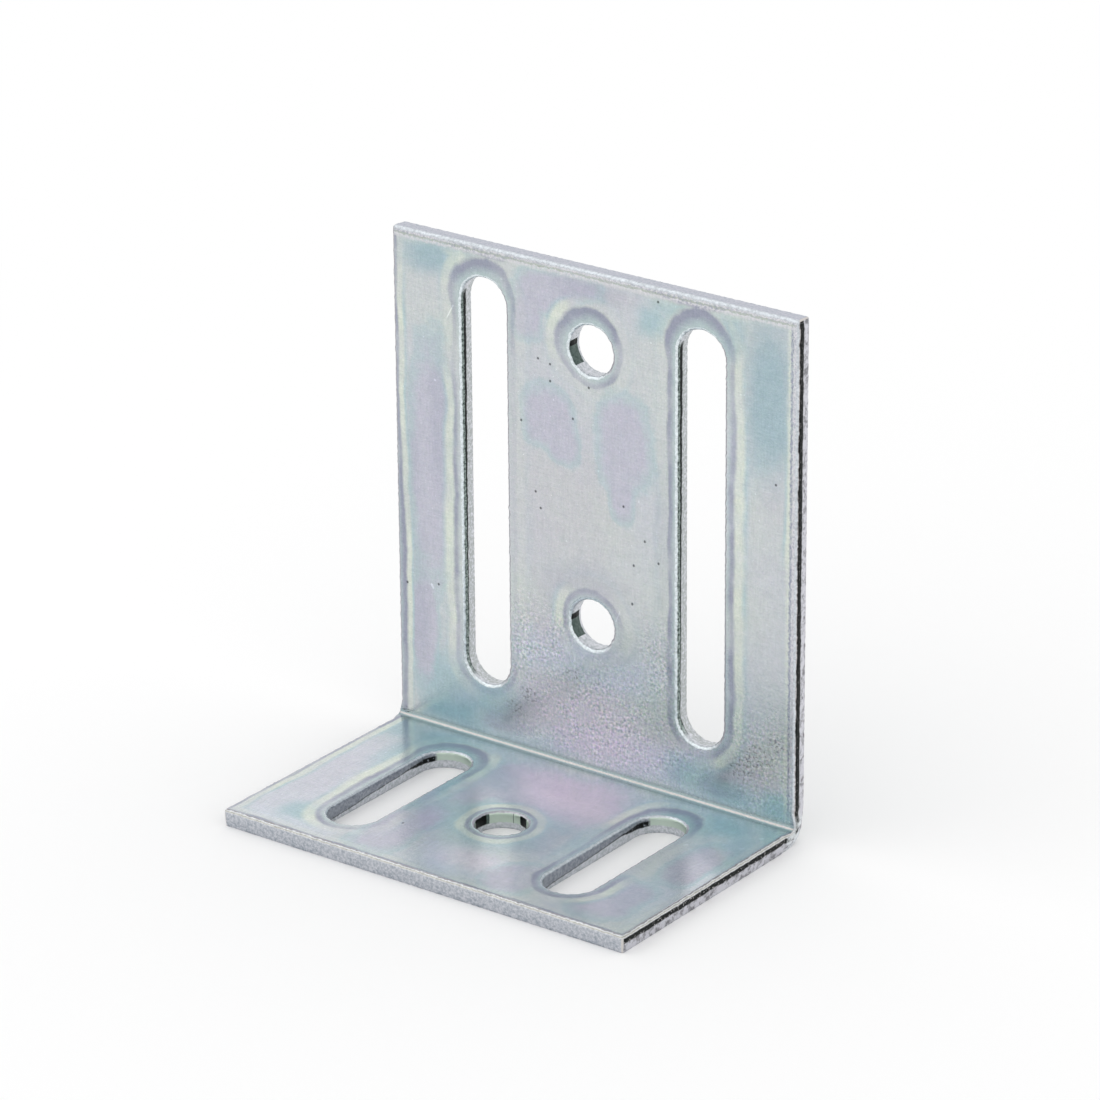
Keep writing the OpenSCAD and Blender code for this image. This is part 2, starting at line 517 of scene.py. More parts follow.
# Coarse rings from there to the border of the outline, and to the window of a hole.
RINGS_TO_BORDER, RINGS_TO_WINDOW = 1, 3
# First seeds of the rims' ripples.
OUTLINE_SEED, HOLE_SEED, SEEDS_PER_HOLE = 100, 200, 20


def ring_of_rows(mesh, sheet, cut, window_ids, fine_window, seen, kind, rings, seed):
    """Fills the metal between a window of both faces and the rim inside it.

    Seen is what hole_rim or sheet_rim gives for the window's points and the middles
    between them. Rows at set distances from the rim follow it on each face, with half the
    points in the outer rows, and the rows of edge_rows join the two faces.
    """
    rim, way, reach = seen
    profile = edge_rows(sheet, cut, rim, seed)
    edge_ids = []
    for inset, depth in profile:
        edge_ids.append(mesh.add(rim + way * inset[:, None], depth, -way, kind))
    for one, two in zip(edge_ids, edge_ids[1:]):
        mesh.join(one, two, cut=True)
    ends = (
        (profile[0][0], edge_ids[0], window_ids[0], 0, INNER_INSETS),
        (profile[-1][0], edge_ids[-1], window_ids[1], sheet.thickness, OUTER_INSETS),
    )
    for start_inset, start_ids, end_ids, depth, insets in ends:
        start = rim + way * start_inset[:, None]
        last_ids = start_ids
        for inset in insets:
            part = (inset * MM - start_inset) / (reach - start_inset)
            ids = mesh.add(start + (fine_window - start) * part[:, None], depth)
            mesh.join(last_ids, ids)
            last_ids = ids
        coarse_start, inset = start[::2], start_inset[::2]
        first = (COARSE_INSET * MM - inset) / (reach[::2] - inset)
        for ring in range(rings):
            part = first + (1 - first) * ring / rings
            way_out = (fine_window[::2] - coarse_start) * part[:, None]
            ids = mesh.add(coarse_start + way_out, depth)
            mesh.join(last_ids, ids)
            last_ids = ids
        mesh.join(last_ids, end_ids)


def face_grids(mesh, sheet, division, found):
    """Lays the grid of both faces and returns each hole's window in it.

    The grid lines pass through the edges of a rectangular window round every hole, and
    the cells inside a window are left out.
    """
    border, cell = division.border, division.cell
    half_width = sheet.width / 2 - border
    flat_end = flat_length(sheet) - border
    rooms = []
    for across, along, straight, radius in found:
        room = radius + division.window
        rooms.append((
            across - room, across + room, along - straight - room, along + straight + room))
    wide = [stop for room in rooms for stop in room[:2]] + [-half_width, half_width]
    long = [stop for room in rooms for stop in room[2:] if border <= stop <= flat_end]
    start, end = base_run(sheet), fold_end(sheet)
    before = merged([border] + [stop for stop in long if stop < start] + [start], cell)
    after = merged([end] + [stop for stop in long if stop > end] + [flat_end], cell)
    turn = np.linspace(start, end, division.turn_steps + 1)
    x_lines = lines(merged(wide, cell), cell)
    s_lines = np.concatenate([lines(before, cell), turn[1:-1], lines(after, cell)])
    flat = np.stack(np.meshgrid(x_lines, s_lines, indexing="ij"), -1)
    keep_cell = np.ones((len(x_lines) - 1, len(s_lines) - 1), bool)
    windows = []
    for left, right, low, high in rooms:
        left, right = nearest(x_lines, left), nearest(x_lines, right)
        low, high = nearest(s_lines, low), nearest(s_lines, high)
        keep_cell[left:right, low:high] = False
        windows.append((slice(left, right + 1), slice(low, high + 1)))
    keep = np.zeros(flat.shape[:2], bool)
    rows, columns = keep_cell.shape
    for dx, ds in ((0, 0), (0, 1), (1, 0), (1, 1)):
        keep[dx:dx + rows, ds:ds + columns] |= keep_cell
    mark_outline(keep)
    for block in windows:
        mark_outline(keep[block])
    grids = []
    for depth in (0, sheet.thickness):
        ids = np.full(flat.shape[:2], -1)
        ids[keep] = mesh.add(flat[keep], depth)
        cells = [ids[:-1, :-1], ids[1:, :-1], ids[1:, 1:], ids[:-1, 1:]]
        mesh.face([corner[keep_cell] for corner in cells])
        grids.append(ids)
    return flat, grids, windows


def side_gap(sheet, flat):
    """Distance of flat points from the outline of the sheet."""
    half = half_sheet(sheet)
    return np.maximum((half - np.abs(flat - [0, half[1]])).min(1), 0)


def hole_gap(found, flat):
    """Distance of flat points from the nearest hole or slot."""
    return np.maximum(np.min([from_hole(flat, hole)[1] for hole in found], axis=0), 0)


def cap(radius, height, away):
    """Height above its plane of a ball that stands out by that height over that radius."""
    ball = (radius ** 2 + height ** 2) / (2 * height)
    inside = np.sqrt(np.maximum(ball ** 2 - away ** 2, 0))
    return inside - (ball - height)


# How far beside the edge the fold's ends are worked, the metal of the lip that the swell
# fills, how near the rim that metal is, and the share of it that is filled.
ENDS_FADE = 2 * MM
FILLED_ROOM = 1 * MM
FILLED_GAP = 0.6 * MM
FILLED_SHARE = 0.8


def work_fold_ends(sheet, place, gap):
    """Moves the metal at both ends of the fold, as folding squeezes and stretches it.

    Outside the fold a wide shallow cap sinks into the side, and inside it a smaller one
    stands out, whichever of the two is further out. Both fade over the first two
    millimetres beside the edge, and the swell fills most of the lip's round.
    """
    axis = np.array([sheet.reach / 2 - fold_out(sheet), fold_out(sheet)])
    way = np.array([1, -1]) * math.sqrt(0.5)
    inner = np.linalg.norm(place[:, 1:] - (axis + way * sheet.fold_radius), axis=1)
    outer = np.linalg.norm(place[:, 1:] - (axis + way * fold_out(sheet)), axis=1)
    swell = cap(sheet.swell_radius, sheet.swell, inner)
    sunk = np.maximum(cap(sheet.draw_in_radius, sheet.draw_in, outer), 0)
    room = np.maximum(sheet.width / 2 - np.abs(place[:, 0]), 0)
    fade = np.clip(1 - room / ENDS_FADE, 0, 1) ** 2
    filled = np.minimum(room, FILLED_ROOM) * np.clip(swell / sheet.swell, 0, 1)
    filled = filled * (gap < FILLED_GAP)
    shift = np.maximum(swell, -sunk) * fade + FILLED_SHARE * filled
    place[:, 0] += np.sign(place[:, 0]) * shift
    return place


WALL, BASE = "wall", "base"

# Patches of the inner faces, in millimetres, by leg: middle (x and height on the wall leg, x
# and y on the base leg) and radii. The film is teal, lilac, pink, flushed, pale or dull there,
# or it is mottled or stained. Beside the rims its bands show their halo there, spread wider,
# are drawn tighter, or are nearly bare.
PATCHES = {
    "teal": {
        WALL: (
            (-31, 86.5, 7, 3), (12, 84, 3, 2.6), (18, 86.8, 6, 1.6), (25, 84.5, 5, 3.6),
            (34.4, 75, 4.2, 12), (-29, 8, 6, 3.6), (-31, 12, 5, 5), (-20, 11, 5, 3.4),
            (20, 8, 5, 2.6), (37, 6, 4, 2.6), (27, 6.4, 5, 2),
        ),
        BASE: (
            (-25, 17.5, 15, 4.2), (-35.5, 17.5, 5, 3.4), (-29.6, 11, 3.2, 7),
            (-30, -18, 2.6, 3), (27, 17.6, 13, 4.4), (37, 10, 4, 9), (15.4, 5, 2.6, 13),
            (0, -3, 9.4, 9.4), (-15.4, -4, 1.6, 13),
        ),
    },
    "lilac": {
        WALL: (
            (-32.8, 49, 4, 21), (-34.6, 20, 2.6, 10), (-8.6, 84.5, 6.4, 3.6),
            (-12.5, 80, 2.6, 4), (-3, 86.6, 5, 2), (-8.4, 63.5, 4.6, 5), (-5.6, 59.5, 3, 3.4),
            (6.7, 62, 5, 7.4), (6, 53, 2.4, 4),
        ),
        BASE: (
            (34.4, 2, 3.2, 8), (1, 10, 13, 8), (31, -15, 5, 7), (14, -18, 4.6, 5),
            (-12.5, -14, 4.4, 9), (-11, 8, 4, 9),
        ),
    },
    "pink": {
        WALL: ((-4, 10.6, 12, 6),),
        BASE: ((2, 13, 11, 6), (3, -17, 5, 3)),
    },
    "flush": {
        WALL: (
            (-6, 49, 10, 12), (-2, 34.6, 9, 4), (-9, 27, 5, 5), (35.5, 62, 2, 5),
            (33.8, 76, 3.6, 9), (34.6, 10, 3, 2.4), (0, 87, 9, 1.6),
        ),
        BASE: ((0, 3, 16, 8), (-34, -4, 4, 12)),
    },
    "pale": {
        WALL: ((28.4, 60, 2, 15), (-2, 22, 14, 4), (8, 7.6, 28, 3.6), (-9, 10.5, 8, 5)),
        BASE: ((-33.5, -5, 6, 16), (-30, -21.5, 8, 2.4), (4.6, -18.5, 9, 5), (35.5, -4, 4.6, 13)),
    },
    "halo": {
        WALL: (
            (-28.6, 42, 1.7, 26), (-38.4, 66, 1.6, 20), (-27.5, 84, 3.6, 4), (-37.4, 24, 2, 19),
            (-5.5, 79, 3.6, 5), (28.5, 46, 2.2, 38), (-5, 31, 3, 4), (38, 60, 1.6, 12),
            (-22, 4.6, 8, 1), (25, 4.6, 7, 1), (27, 12, 3, 3),
        ),
        BASE: (
            (-1, -4, 12, 12), (-27, -15, 5, 7), (-28, 0, 2.6, 14), (27.5, -14, 3, 6),
            (-38, 0, 2, 22), (16, 12, 2.4, 6), (-16, 12, 3, 6),
        ),
    },
    "spread": {
        WALL: ((-22.5, 85, 6, 5), (20.5, 85, 6, 5), (-1.5, 80, 6, 4.5), (-40, 24, 2.6, 22)),
        BASE: ((-23, 15, 7, 4), (22, 16.5, 6, 3)),
    },
    "tight": {
        BASE: ((0, -3, 8, 8),),
    },
    "bare": {
        WALL: (
            (-14.6, 44, 3, 34), (28.4, 44, 3, 34), (-28, 46, 2.6, 31), (2, 25.5, 7, 4),
            (-22, 10, 7, 3.6), (21, 10, 7, 3.6),
        ),
        BASE: (
            (-14.6, -3, 3.4, 15), (29, -3, 3.4, 15), (0, -3, 8, 8), (-29, -6, 3, 13),
            (39.6, -3, 2.4, 24),
        ),
    },
    "dull": {
        WALL: (
            (34.5, 77, 4.6, 12), (26, 83.5, 4, 3), (-31, 86, 7, 3), (-38, 40, 2.4, 24),
            (-30, 58, 2.6, 12), (-2, 35, 7, 4), (14.6, 46, 2, 16), (0, 86.6, 6, 2),
            (-37, 26, 3, 12),
        ),
        BASE: ((2, 15.5, 18, 5), (-32, 15, 7, 6), (9, -5, 4, 6)),
    },
    "mottled": {
        WALL: ((4, 13, 18, 10), (34, 13, 6, 10), (-11, 22, 8, 7), (14, 24, 4, 8)),
    },
    "stained": {
        WALL: (
            (-12.8, 13.2, 1.8, 1.4), (-15.6, 10.4, 1.6, 1.4), (-4, 19, 2, 1.2),
            (29.6, 11, 2.6, 1.8), (33, 14, 3, 2), (36.4, 17.4, 1.6, 1.6),
            (-38.6, 3.4, 1.3, 1.2),
        ),
    },
}

# Pits of the inner faces, in millimetres: leg and place.
PITS = (
    (WALL, -10.5, 73.1), (WALL, -8.1, 72.6), (WALL, -8.1, 69.7), (WALL, -14.0, 61.7),
    (WALL, -0.4, 70.2), (WALL, -3.6, 64.2), (WALL, 13.2, 87.6), (WALL, -38.1, 27.4),
    (WALL, -31.5, 28.6), (WALL, -11.2, 49.9), (WALL, -10.2, 47.2), (WALL, 6.4, 51.3),
    (WALL, 8.4, 41.5), (WALL, 13.3, 43.0), (WALL, 8.1, 34.7), (WALL, 10.6, 46.2),
    (WALL, 35.9, 61.8), (BASE, -12.9, -12.2), (WALL, -39.2, 3.6), (WALL, -38.4, 3.0),
)
# Bright nicks of the inner faces, in millimetres: leg, both ends and width.
NICKS = (
    (WALL, -31.7, 64.8, -31.5, 64.8, 0.22), (WALL, -33.0, 28.2, -32.7, 27.7, 0.30),
    (WALL, -28.9, 76.3, -27.6, 78.6, 0.16), (WALL, 4.8, 30.8, 5.6, 32.7, 0.12),
    (WALL, 1.5, 13.0, 9.6, 15.1, 0.08), (BASE, 28.7, 7.4, 29.0, 7.7, 0.25),
    (BASE, 36.8, 11.4, 37.2, 11.8, 0.20), (BASE, 37.3, 16.3, 37.7, 16.6, 0.25),
)
# Painted dark reflections on the burnished sides of the round holes: leg, from and to which angle in
# degrees the hole's side faces, and how dark they are.
DULL, BLACK = 0.5, 1
DARK_REFLECTIONS = (
    (WALL, -12, 46, DULL), (WALL, -12, 2, BLACK), (BASE, -19, 27, BLACK), (BASE, -27, -19, DULL),
    (BASE, -83, -77, DULL), (BASE, -124, -97, BLACK),
)


def flat_spot(sheet, leg, x, other):
    """A point of the flat sheet's inner face, in metres, from millimetres on a leg."""
    along = wall_along(sheet, other * MM) if leg == WALL else base_along(sheet, other * MM)
    return (x * MM, along, 0)


def patch_field(sheet, flat, legs):
    """How far flat points lie inside the nearest patch, from 1 in its middle to 0 on its border.

    The border is a little squarer than an oval: the distance is the cube root of the sum
    of third powers, in radii. It is no lower than -1.
    """
    field = np.full(len(flat), -1.0)
    for leg, patches in legs.items():
        for x, other, *radii in patches:
            away = np.abs(flat - flat_spot(sheet, leg, x, other)[:2]) / (np.array(radii) * MM)
            field = np.maximum(field, 1 - np.cbrt((away ** 3).sum(1)))
    return field


def painted_dark_reflections(sheet, points, facing, kind):
    """Where dark reflections are painted on the burnished cut edges, as three rows of values.

    The first two are the depths, worked out in millimetres, between which a black streak, a
    painted dark reflection, lies on edges that face along x. It is broad and near the lip on the
    sheet's sides. In the wall slots it gets narrower downwards, and in the base slots it climbs
    towards the fold. The third is how dark the painted reflection in the round holes is, by the
    angle round the hole.
    """
    from_front = points[:, 1] / MM
    height = (points[:, 1] - wall_along(sheet, 0)) / MM
    base_top = np.interp(from_front, (10, 36), (2.3, 0.7))
    base_end = base_top + np.interp(from_front, (30.8, 36), (0.18, 0.98))
    wall_end = np.interp(height, (20, 80), (0.95, 1.35))
    wall_top = wall_end - np.interp(height, (20, 80), (0.15, 0.75))
    up = fold_share(sheet, points[:, 1])
    on_wall = up > 0.5
    top = np.where(kind == OUTLINE, 0.45 - 0.15 * up, np.where(on_wall, wall_top, base_top))
    end = np.where(kind == OUTLINE, 1.4 - 0.05 * up, np.where(on_wall, wall_end, base_end))
    turn = np.degrees(np.arctan2(facing[:, 1], facing[:, 0]))
    dark = np.zeros(len(points))
    for leg, start, stop, value in DARK_REFLECTIONS:
        here = (kind == IN_HOLE) & (on_wall == (leg == WALL))
        dark[here & (turn > start) & (turn < stop)] = value
    return top * MM, end * MM, dark


def flat_mesh(sheet, cut, division, found):
    """The whole flat sheet: the grid of both faces, and the rings round every rim in it."""
    mesh = FlatMesh()
    flat, grids, windows = face_grids(mesh, sheet, division, found)
    fine = with_middles(loop_of(flat))
    ids = [loop_of(grid) for grid in grids]
    seen = sheet_rim(fine, sheet, division.border)
    ring_of_rows(mesh, sheet, cut, ids, fine, seen, OUTLINE, RINGS_TO_BORDER, OUTLINE_SEED)
    for count, (hole, block) in enumerate(zip(found, windows)):
        fine = with_middles(loop_of(flat[block]))
        ids = [loop_of(grid[block]) for grid in grids]
        seen = hole_rim(fine, hole)
        kind = IN_SLOT if hole[2] > 0 else IN_HOLE
        seed = HOLE_SEED + SEEDS_PER_HOLE * count
        ring_of_rows(mesh, sheet, cut, ids, fine, seen, kind, RINGS_TO_WINDOW, seed)
    return mesh


# Angle in degrees from which an edge between two faces is shaded as a sharp one.
SHARP_FROM = 50


def sheet_mesh(sheet, cut, division):
    """The whole folded sheet as one closed mesh, with the values its materials read."""
    found = holes(sheet)
    mesh = flat_mesh(sheet, cut, division, found)
    points = np.concatenate(mesh.points)
    to_side = side_gap(sheet, points[:, :2])
    to_hole = hole_gap(found, points[:, :2])
    place = folded(sheet, points[:, 0], points[:, 1], points[:, 2])
    place = work_fold_ends(sheet, place, to_side)
    data = bpy.data.meshes.new("folded_sheet")
    data.from_pydata(place.tolist(), [], mesh.faces)
    data.polygons.foreach_set("material_index", np.array(mesh.cut, np.int32))
    facing, kind = np.concatenate(mesh.facing), np.concatenate(mesh.kind)
    streak_top, streak_end, dark = painted_dark_reflections(sheet, points, facing, kind)
    values = {
        "side_gap": to_side,
        "hole_gap": to_hole,
        "depth": points[:, 2],
        "facing_x": facing[:, 0],
        "facing_s": facing[:, 1],
        "rim_kind": kind,
        # Depths of the painted black streak, and how dark the painted reflection in the round holes
        # is.
        "streak_top": streak_top,
        "streak_end": streak_end,
        "burnished": dark,
    }
    for name, legs in PATCHES.items():
        values[name] = patch_field(sheet, points[:, :2], legs)
    for name, value in values.items():
        data.attributes.new(name, "FLOAT", "POINT").data.foreach_set("value", value)
    flat_place = data.attributes.new("flat_place", "FLOAT_VECTOR", "POINT")
    flat_place.data.foreach_set("vector", points.ravel())
    work = bmesh.new()
    work.from_mesh(data)
    bmesh.ops.recalc_face_normals(work, faces=work.faces)
    work.to_mesh(data)
    work.free()
    data.polygons.foreach_set("use_smooth", np.ones(len(data.polygons), bool))
    data.set_sharp_from_angle(angle=math.radians(SHARP_FROM))
    data.update()
    return data


class Value:
    """A node's output. Arithmetic on it adds Math nodes, and its masks are Map Range nodes."""

    def __init__(self, shelf, socket):
        self.shelf = shelf
        self.socket = socket

    def __add__(self, other):
        return self.shelf.math("ADD", self, other)

    def __sub__(self, other):
        return self.shelf.math("SUBTRACT", self, other)

    def __rsub__(self, other):
        return self.shelf.math("SUBTRACT", other, self)

    def __mul__(self, other):
        return self.shelf.math("MULTIPLY", self, other)

    def __truediv__(self, other):
        return self.shelf.math("DIVIDE", self, other)

    def __rtruediv__(self, other):
        return self.shelf.math("DIVIDE", other, self)

    __radd__ = __add__
    __rmul__ = __mul__

    def fit(self, low, high, to_low, to_high, smooth=False):
        """The value taken from one range to another, and held at its ends."""
        inputs = {
            "Value": self, "From Min": low, "From Max": high, "To Min": to_low, "To Max": to_high}
        course = "SMOOTHSTEP" if smooth else "LINEAR"
        node = self.shelf.add("MapRange", inputs, interpolation_type=course)
        return self.shelf.value(node, "Result")

    def rise(self, low, high, smooth=False):
        """A mask that is 0 up to low, and 1 from high on."""
        return self.fit(low, high, 0.0, 1.0, smooth)

    def fall(self, low, high, smooth=False):
        """A mask that is 1 up to low, and 0 from high on."""
        return self.fit(low, high, 1.0, 0.0, smooth)

    def between(self, start, full, still, end, smooth=True):
        """A mask that starts, is full, is still full and ends at the given values."""
        return self.rise(start, full, smooth) * self.fall(still, end, smooth)


class Shelf:
    """Puts nodes into a node tree, with each input given as a value or as an output."""

    def __init__(self, tree):
        self.tree = tree

    def value(self, node, output):
        """A node's output, ready for arithmetic."""
        return Value(self, node.outputs[output])

    def plug(self, socket, value):
        """Links an output to an input, or sets the input's own value."""
        if isinstance(value, Value):
            self.tree.links.new(value.socket, socket)
            return
        room = len(socket.default_value) if hasattr(socket.default_value, "__len__") else 1
        if room > 1 and not hasattr(value, "__len__"):
            value = [value] * room
        elif room == 4 and len(value) == 3:
            value = (*value, 1)
        socket.default_value = value

    def add(self, kind, inputs=None, **settings):
        """Adds a node with its settings and inputs."""
        node = self.tree.nodes.new("ShaderNode" + kind)
        for name, value in settings.items():
            setattr(node, name, value)
        for name, value in (inputs or {}).items():
            self.plug(node.inputs[name], value)
        return node

    def math(self, operation, *values):
        """A number worked out from others."""
        return self.value(self.add("Math", dict(enumerate(values)), operation=operation), 0)

    def highest(self, first, *others):
        """The highest of some numbers."""
        for other in others:
            first = self.math("MAXIMUM", first, other)
        return first

    def lowest(self, first, *others):
        """The lowest of some numbers."""
        for other in others:
            first = self.math("MINIMUM", first, other)
        return first

    def vector(self, operation, *values):
        """A vector, length or distance worked out from vectors."""
        node = self.add("VectorMath", dict(enumerate(values)), operation=operation)
        single = operation in ("LENGTH", "DISTANCE", "DOT_PRODUCT")
        return self.value(node, "Value" if single else "Vector")

    def scaled(self, vector, factor):
        """A vector or colour times a number."""
        node = self.add("VectorMath", {0: vector, "Scale": factor}, operation="SCALE")
        return self.value(node, "Vector")

    def coordinate(self, vector, axis):
        """One coordinate of a vector."""
        return self.value(self.add("SeparateXYZ", {"Vector": vector}), axis)

    def mix(self, part, one, two):
        """Two colours mixed by a part, by the numbers of the Mix node's sockets for colours."""
        return self.value(self.add("Mix", {0: part, 6: one, 7: two}, data_type="RGBA"), 2)

    def ramp(self, value, stops):
        """A colour looked up along a value. Each stop is a colour and where it stands."""
        node = self.add("ValToRGB", {"Fac": value})
        elements = node.color_ramp.elements
        places = [(place, shade) for shade, *standing in stops for place in standing]
        for number, (place, shade) in enumerate(places):
            element = elements[number] if number < 2 else elements.new(place)
            element.position = place
            element.color = (*shade, 1)
        return self.value(node, "Color")

    def noise(self, vector, size, detail=2.0, roughness=0.5):
        """Noise whose blotches are about the given size in metres."""
        node = self.add("TexNoise", {
            "Vector": vector, "Scale": 1 / size, "Detail": detail, "Roughness": roughness})
        return self.value(node, "Fac")

    def attribute(self, name, output="Fac"):
        """A value that the mesh carries."""
        return self.value(self.add("Attribute", attribute_name=name), output)

    def group(self, name, inputs):
        """Places a node group, gives its inputs and returns its outputs by name."""
        node = self.add("Group", node_tree=bpy.data.node_groups[name])
        for socket, value in inputs.items():
            self.plug(node.inputs[socket], value)
        return {output.name: Value(self, output) for output in node.outputs}


def new_group(name, inputs, outputs):
    """An empty node group with named inputs and outputs, and the shelf to fill it from."""
    tree = bpy.data.node_groups.new(name, "ShaderNodeTree")
    for socket, kind, default in inputs:
        made = tree.interface.new_socket(socket, in_out="INPUT", socket_type=kind)
        made.default_value = default
    for socket, kind in outputs:
        tree.interface.new_socket(socket, in_out="OUTPUT", socket_type=kind)
    shelf = Shelf(tree)
    source = tree.nodes.new("NodeGroupInput")
    given = {socket: shelf.value(source, socket) for socket, _, _ in inputs}
    return shelf, given, tree.nodes.new("NodeGroupOutput").inputs


FLOAT, VECTOR, COLOUR = "NodeSocketFloat", "NodeSocketVector", "NodeSocketColor"


def grain_group():
    """Fine plating grain: a tint that varies a little round white, and its height."""
    shelf, given, out = new_group(
        "plating_grain",
        [("Place", VECTOR, (0, 0, 0)), ("Amount", FLOAT, 0.3), ("Size", FLOAT, 0.3 * MM)],
        [("Tint", COLOUR), ("Height", FLOAT)])
    grain = shelf.add("TexNoise", {
        "Vector": given["Place"], "Scale": 1 / given["Size"], "Detail": 3.0, "Roughness": 0.65})
    height = shelf.value(grain, "Fac")
    tint = shelf.mix(0.22, height, shelf.value(grain, "Color"))
    tint = shelf.scaled(shelf.vector("SUBTRACT", tint, 0.5), given["Amount"])
    shelf.plug(out["Tint"], shelf.vector("ADD", tint, 1))
    shelf.plug(out["Height"], height)


def mark_group():
    """A short straight mark of a given width between two points of the flat sheet."""
    shelf, given, out = new_group(
        "short_mark",
        [("Place", VECTOR, (0, 0, 0)), ("Start", VECTOR, (0, 0, 0)), ("End", VECTOR, (0, 0, 0)),
         ("Width", FLOAT, 0.1 * MM)],
        [("Mark", FLOAT)])
    run = shelf.vector("SUBTRACT", given["End"], given["Start"])
    away = shelf.vector("SUBTRACT", given["Place"], given["Start"])
    square = shelf.vector("DOT_PRODUCT", run, run)
    part = (shelf.vector("DOT_PRODUCT", away, run) / square).rise(0, 1)
    far = shelf.vector("DISTANCE", away, shelf.scaled(run, part))
    shelf.plug(out["Mark"], far.fall(0.4 * given["Width"], given["Width"], smooth=True))


def patch(shelf, name, wander, softness=0.35):
    """A soft patch from the field that the mesh carries, with an uneven border."""
    field = shelf.attribute(name) + 0.45 * wander
    return field.rise(-softness, softness, smooth=True)


def clouds(shelf, film, place, inner, wander):
    """Open metal with pale, flushed, teal and dull patches, and lilac clouds with teal borders.

    The inner faces have the patches that the mesh carries. On the outer faces slow noise
    makes patches of the same size.
    """
    def inner_patch(name, softness, strength):
        """A patch of the inner faces, at a strength."""
        return patch(shelf, name, wander, softness) * inner * strength

    cool = shelf.noise(place, 17 * MM, 1.0).rise(0.35, 0.65)
    drift = shelf.noise(place, 15 * MM, 2.0, 0.45).rise(0.5, 0.68) * (1 - inner)
    tone = shelf.mix(cool, film.open_warm, film.open_cool)
    tone = shelf.mix(inner_patch("pale", 0.5, 0.9), tone, film.pale)
    tone = shelf.mix(inner_patch("flush", 0.7, 0.45), tone, film.flush)
    teal = shelf.highest(inner_patch("teal", 0.6, 0.85), 0.5 * drift)
    tone = shelf.mix(teal, tone, film.teal)
    lilac = shelf.highest(inner_patch("lilac", 0.5, 1.0), drift)
    tone = shelf.mix(0.45 * lilac.rise(0.02, 0.3, smooth=True), tone, film.teal)
    tone = shelf.mix(0.95 * lilac.rise(0.25, 0.95, smooth=True), tone, film.lilac)
    tone = shelf.mix(inner_patch("pink", 0.7, 0.6), tone, film.pink)
    dull = shelf.vector("MULTIPLY", tone, film.dull)
    return shelf.mix(inner_patch("dull", 0.5, 1.0), tone, dull)


def rim_bands(shelf, cut, film, place, wander, tone):
    """The bands of colour that follow the rims, laid over a tone.

    Their order starts at the lip. Beside a hole it starts with mint, and beside the
    outline, where the bands are also narrower, with violet. The first two bands are
    there all round, and the outer two only where the mesh's halo patches are.
    """
    wide = patch(shelf, "spread", 0.0, 0.6)
    tight = patch(shelf, "tight", 0.0, 0.5)
    bare = patch(shelf, "bare", 0.0, 0.5)
    spread = shelf.noise(place, 13 * MM, 1.0).fit(0.3, 0.7, 0.75, 1.15) + 1.1 * wide - 0.22 * tight
    by_hole = shelf.attribute("hole_gap") - cut.lip
    by_side = 1.6 * (shelf.attribute("side_gap") - cut.lip) + 0.8 * MM
    order = shelf.lowest(by_hole, by_side) / spread + 0.6 * MM * wander
    last = 5 * MM
    bands = shelf.ramp(order.rise(0, last), (
        (film.mint, 0.0, 0.04), (film.violet, 0.18, 0.26), (film.straw, 0.38, 0.60),
        (film.sea, 0.78, 1.0)))
    uneven = shelf.noise(place, 7 * MM).rise(0.36, 0.6)
    strong = (0.45 * wide + 0.55 * uneven + 0.35).rise(0, 1)
    near = order.fall(0.26 * last, 0.42 * last, smooth=True) * strong * (1 - 0.8 * bare)
    halo = shelf.highest(patch(shelf, "halo", wander, 0.5), 0.18)
    halo = halo * (0.45 * uneven + 0.5) * order.fall(0.75 * last, last)
    return shelf.mix(shelf.highest(near, halo), tone, bands)


def rim_highlights(shelf, sheet, cut, film, place, inner, tone):
    """Painted highlights on the metal that the shear rolled over beside the wall leg's top and right
    edges.

    It is painted whitish beside the lip, then comes a painted dark line. Past that the top edge has a
    second ragged painted whitish line, and the right edge a pale yellow one.
    """
    across, along = shelf.coordinate(place, "X"), shelf.coordinate(place, "Y")
    here = along.rise(fold_end(sheet), fold_end(sheet) + 3 * MM) * inner
    ragged = 1 * MM * shelf.noise(place, 0.8 * MM, 3.0, 0.65) - (0.5 * MM + cut.lip)
    flecked = shelf.noise(place, 0.5 * MM, 3.0, 0.6).fit(0.4, 0.56, 0.35, 1.0)
    right = ((film.rolled, 0.0, 0.22), (film.violet, 0.30, 0.42), (film.straw, 0.54, 1.0))
    top = ((film.rolled, 0.0, 0.12), (film.rolled_line, 0.2, 0.3), (film.rolled, 0.38, 1.0))
    to_right, to_top = sheet.width / 2 - across, flat_length(sheet) - along
    for gap, far, stops in ((to_right, 0.95, right), (to_top, 0.72, top)):
        order = (gap + ragged).rise(0, 2 * MM)
        there = order.fall(0.45, far, smooth=True) * here * flecked
        tone = shelf.mix(there, tone, shelf.ramp(order, stops))
    return tone


def fold_painted_highlight(shelf, sheet, film, place, inner, tone):
    """A painted highlight along the inside of the fold, with a painted dark reflection line on each
    side.
    """
    ragged = 0.5 * MM * shelf.noise(place, 0.8 * MM, 2.0, 0.6) - 0.25 * MM
    beside = turn_run(sheet) / 2
    turn = shelf.coordinate(place, "Y") + ragged
    turn = turn.rise(base_run(sheet) - beside, fold_end(sheet) + beside)
    # Painted dark reflection lines beside the fold, and the painted highlight between them.
    dull = turn.between(0.20, 0.34, 0.66, 0.80, smooth=False) * inner * 0.8
    bright = turn.between(0.43, 0.47, 0.53, 0.57, smooth=False) * inner
    tone = shelf.mix(dull, tone, film.crease_border)
    return shelf.mix(bright, tone, film.crease)


